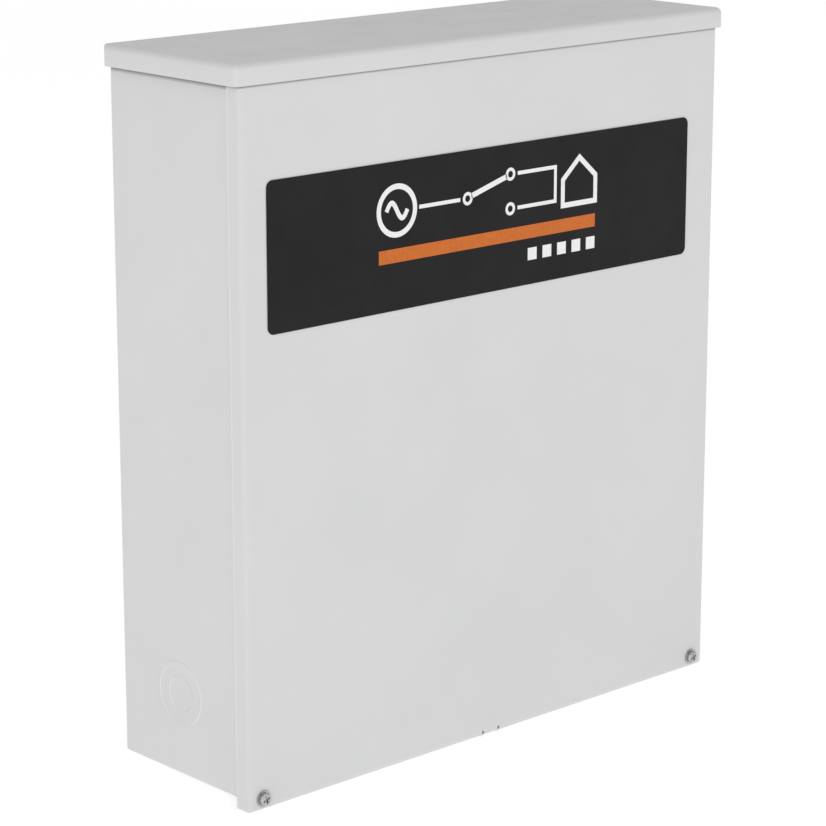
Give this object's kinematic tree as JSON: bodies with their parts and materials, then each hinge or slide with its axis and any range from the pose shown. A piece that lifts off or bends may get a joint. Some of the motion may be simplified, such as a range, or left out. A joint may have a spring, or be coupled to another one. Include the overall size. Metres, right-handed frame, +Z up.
{
  "type": "automatic transfer switch",
  "caption": "Wall-mounted rainproof box with a flat drip cap and a lift-off front cover, holding a contact mechanism that moves a load between utility and standby power.",
  "frame": {"origin": "centre of the enclosure's rear face, where it lies on the wall", "axes": "+Z up, the front faces -Y, +X to the right seen from the front"},
  "size_m": [0.632, 0.193, 0.693],
  "materials": {
    "grey_paint": "light grey powder coat",
    "zinc": "zinc plated",
    "black_moulding": "moulded phenolic",
    "nameplate_black": "printed film",
    "aluminium": "tin plated",
    "copper": "bare copper",
    "steel": "plain",
    "winding_tape": "taped winding",
    "foam_rubber": "closed-cell foam",
    "cream_moulding": "moulded",
    "fuse_body": "ceramic tube",
    "red_vinyl": "dipped vinyl",
    "wire_jacket": "wire insulation"
  },
  "bodies": {
    "root": {"enclosure_body": "grey_paint", "drip_cap": "grey_paint", "knockout_ring_left": "grey_paint", "knockout_disc_left": "grey_paint", "weld_nut_left": "zinc", "weld_nut_right": "zinc", "mounting_plate": "zinc", "cover_gasket": "foam_rubber", "plate_stud_1": "steel", "plate_stud_2": "steel", "plate_stud_3": "steel", "plate_stud_4": "steel", "utility_yoke": "steel", "standby_yoke": "steel", "plunger_spring": "steel", "mechanism_base": "black_moulding", "load_block": "black_moulding", "limit_switch_utility": "black_moulding", "limit_switch_standby": "black_moulding", "relay_socket": "black_moulding", "fuse_block": "black_moulding", "terminal_block": "black_moulding", "handle_clip": "black_moulding", "utility_lug_1": "aluminium", "utility_lug_2": "aluminium", "utility_lug_3": "aluminium", "standby_lug_1": "aluminium", "standby_lug_2": "aluminium", "standby_lug_3": "aluminium", "load_lug_1": "aluminium", "load_lug_2": "aluminium", "load_lug_3": "aluminium", "neutral_bar": "aluminium", "ground_bar": "aluminium", "neutral_insulator": "cream_moulding", "utility_coil": "winding_tape", "standby_coil": "winding_tape", "control_harness": "wire_jacket"},
    "front_cover": {"front_cover": "grey_paint", "nameplate": "nameplate_black"},
    "cover_screw_left": {"cover_screw_left": "zinc", "cover_washer_left": "zinc"},
    "cover_screw_right": {"cover_screw_right": "zinc", "cover_washer_right": "zinc"},
    "contact_carrier": {"contact_carrier": "cream_moulding", "moving_contact_1": "copper", "moving_contact_2": "copper", "moving_contact_3": "copper"},
    "utility_plunger": {"utility_plunger": "steel"},
    "standby_plunger": {"standby_plunger": "steel"},
    "limit_button_utility": {"limit_button_utility": "red_vinyl"},
    "limit_button_standby": {"limit_button_standby": "red_vinyl"},
    "transfer_relay": {"transfer_relay": "cream_moulding"},
    "fuse_1": {"fuse_1": "fuse_body"},
    "fuse_2": {"fuse_2": "fuse_body"},
    "fuse_3": {"fuse_3": "fuse_body"},
    "manual_handle": {"manual_handle": "zinc", "handle_grip": "red_vinyl"}
  },
  "joints": [
    {"name": "cover_tilt", "type": "hinge", "parent": "root", "child": "front_cover", "pos_m": [0, -0.188, 0.322], "axis": [-1, 0, 0], "range_deg": [0, 60]},
    {"name": "cover_screw_left_out", "type": "slide", "parent": "front_cover", "child": "cover_screw_left", "axis": [0, -1, 0], "range_m": [0, 0.012]},
    {"name": "cover_screw_right_out", "type": "slide", "parent": "front_cover", "child": "cover_screw_right", "axis": [0, -1, 0], "range_m": [0, 0.012]},
    {"name": "contact_transfer", "type": "hinge", "parent": "root", "child": "contact_carrier", "pos_m": [0, -0.062, 0.06], "axis": [1, 0, 0], "range_deg": [0, 40]},
    {"name": "utility_plunger_slide", "type": "slide", "parent": "root", "child": "utility_plunger", "axis": [0, 0, -1], "range_m": [0, 0.02053]},
    {"name": "standby_plunger_slide", "type": "slide", "parent": "root", "child": "standby_plunger", "axis": [0, 0, -1], "range_m": [0, 0.02053], "deforming": ["plunger_spring"]},
    {"name": "limit_button_utility_slide", "type": "slide", "parent": "root", "child": "limit_button_utility", "axis": [0, 0, -1], "range_m": [0, 0.00151]},
    {"name": "limit_button_standby_slide", "type": "slide", "parent": "root", "child": "limit_button_standby", "axis": [0, 0, -1], "range_m": [0, 0.00151]},
    {"name": "relay_pull", "type": "slide", "parent": "root", "child": "transfer_relay", "axis": [0, -1, 0], "range_m": [0, 0.02]},
    {"name": "fuse_1_pull", "type": "slide", "parent": "root", "child": "fuse_1", "axis": [0, -1, 0], "range_m": [0, 0.014]},
    {"name": "fuse_2_pull", "type": "slide", "parent": "root", "child": "fuse_2", "axis": [0, -1, 0], "range_m": [0, 0.014]},
    {"name": "fuse_3_pull", "type": "slide", "parent": "root", "child": "fuse_3", "axis": [0, -1, 0], "range_m": [0, 0.014]},
    {"name": "handle_pull", "type": "slide", "parent": "root", "child": "manual_handle", "axis": [0, -1, 0], "range_m": [0, 0.03]}
  ],
  "couplings": [
    {"joint": "utility_plunger_slide", "follows": "contact_transfer", "m_per_rad": 0.029394},
    {"joint": "standby_plunger_slide", "follows": "contact_transfer", "m_per_rad": 0.029394},
    {"joint": "limit_button_utility_slide", "follows": "contact_transfer", "m_per_rad": 0.002149},
    {"joint": "limit_button_standby_slide", "follows": "contact_transfer", "m_per_rad": 0.002149}
  ]
}
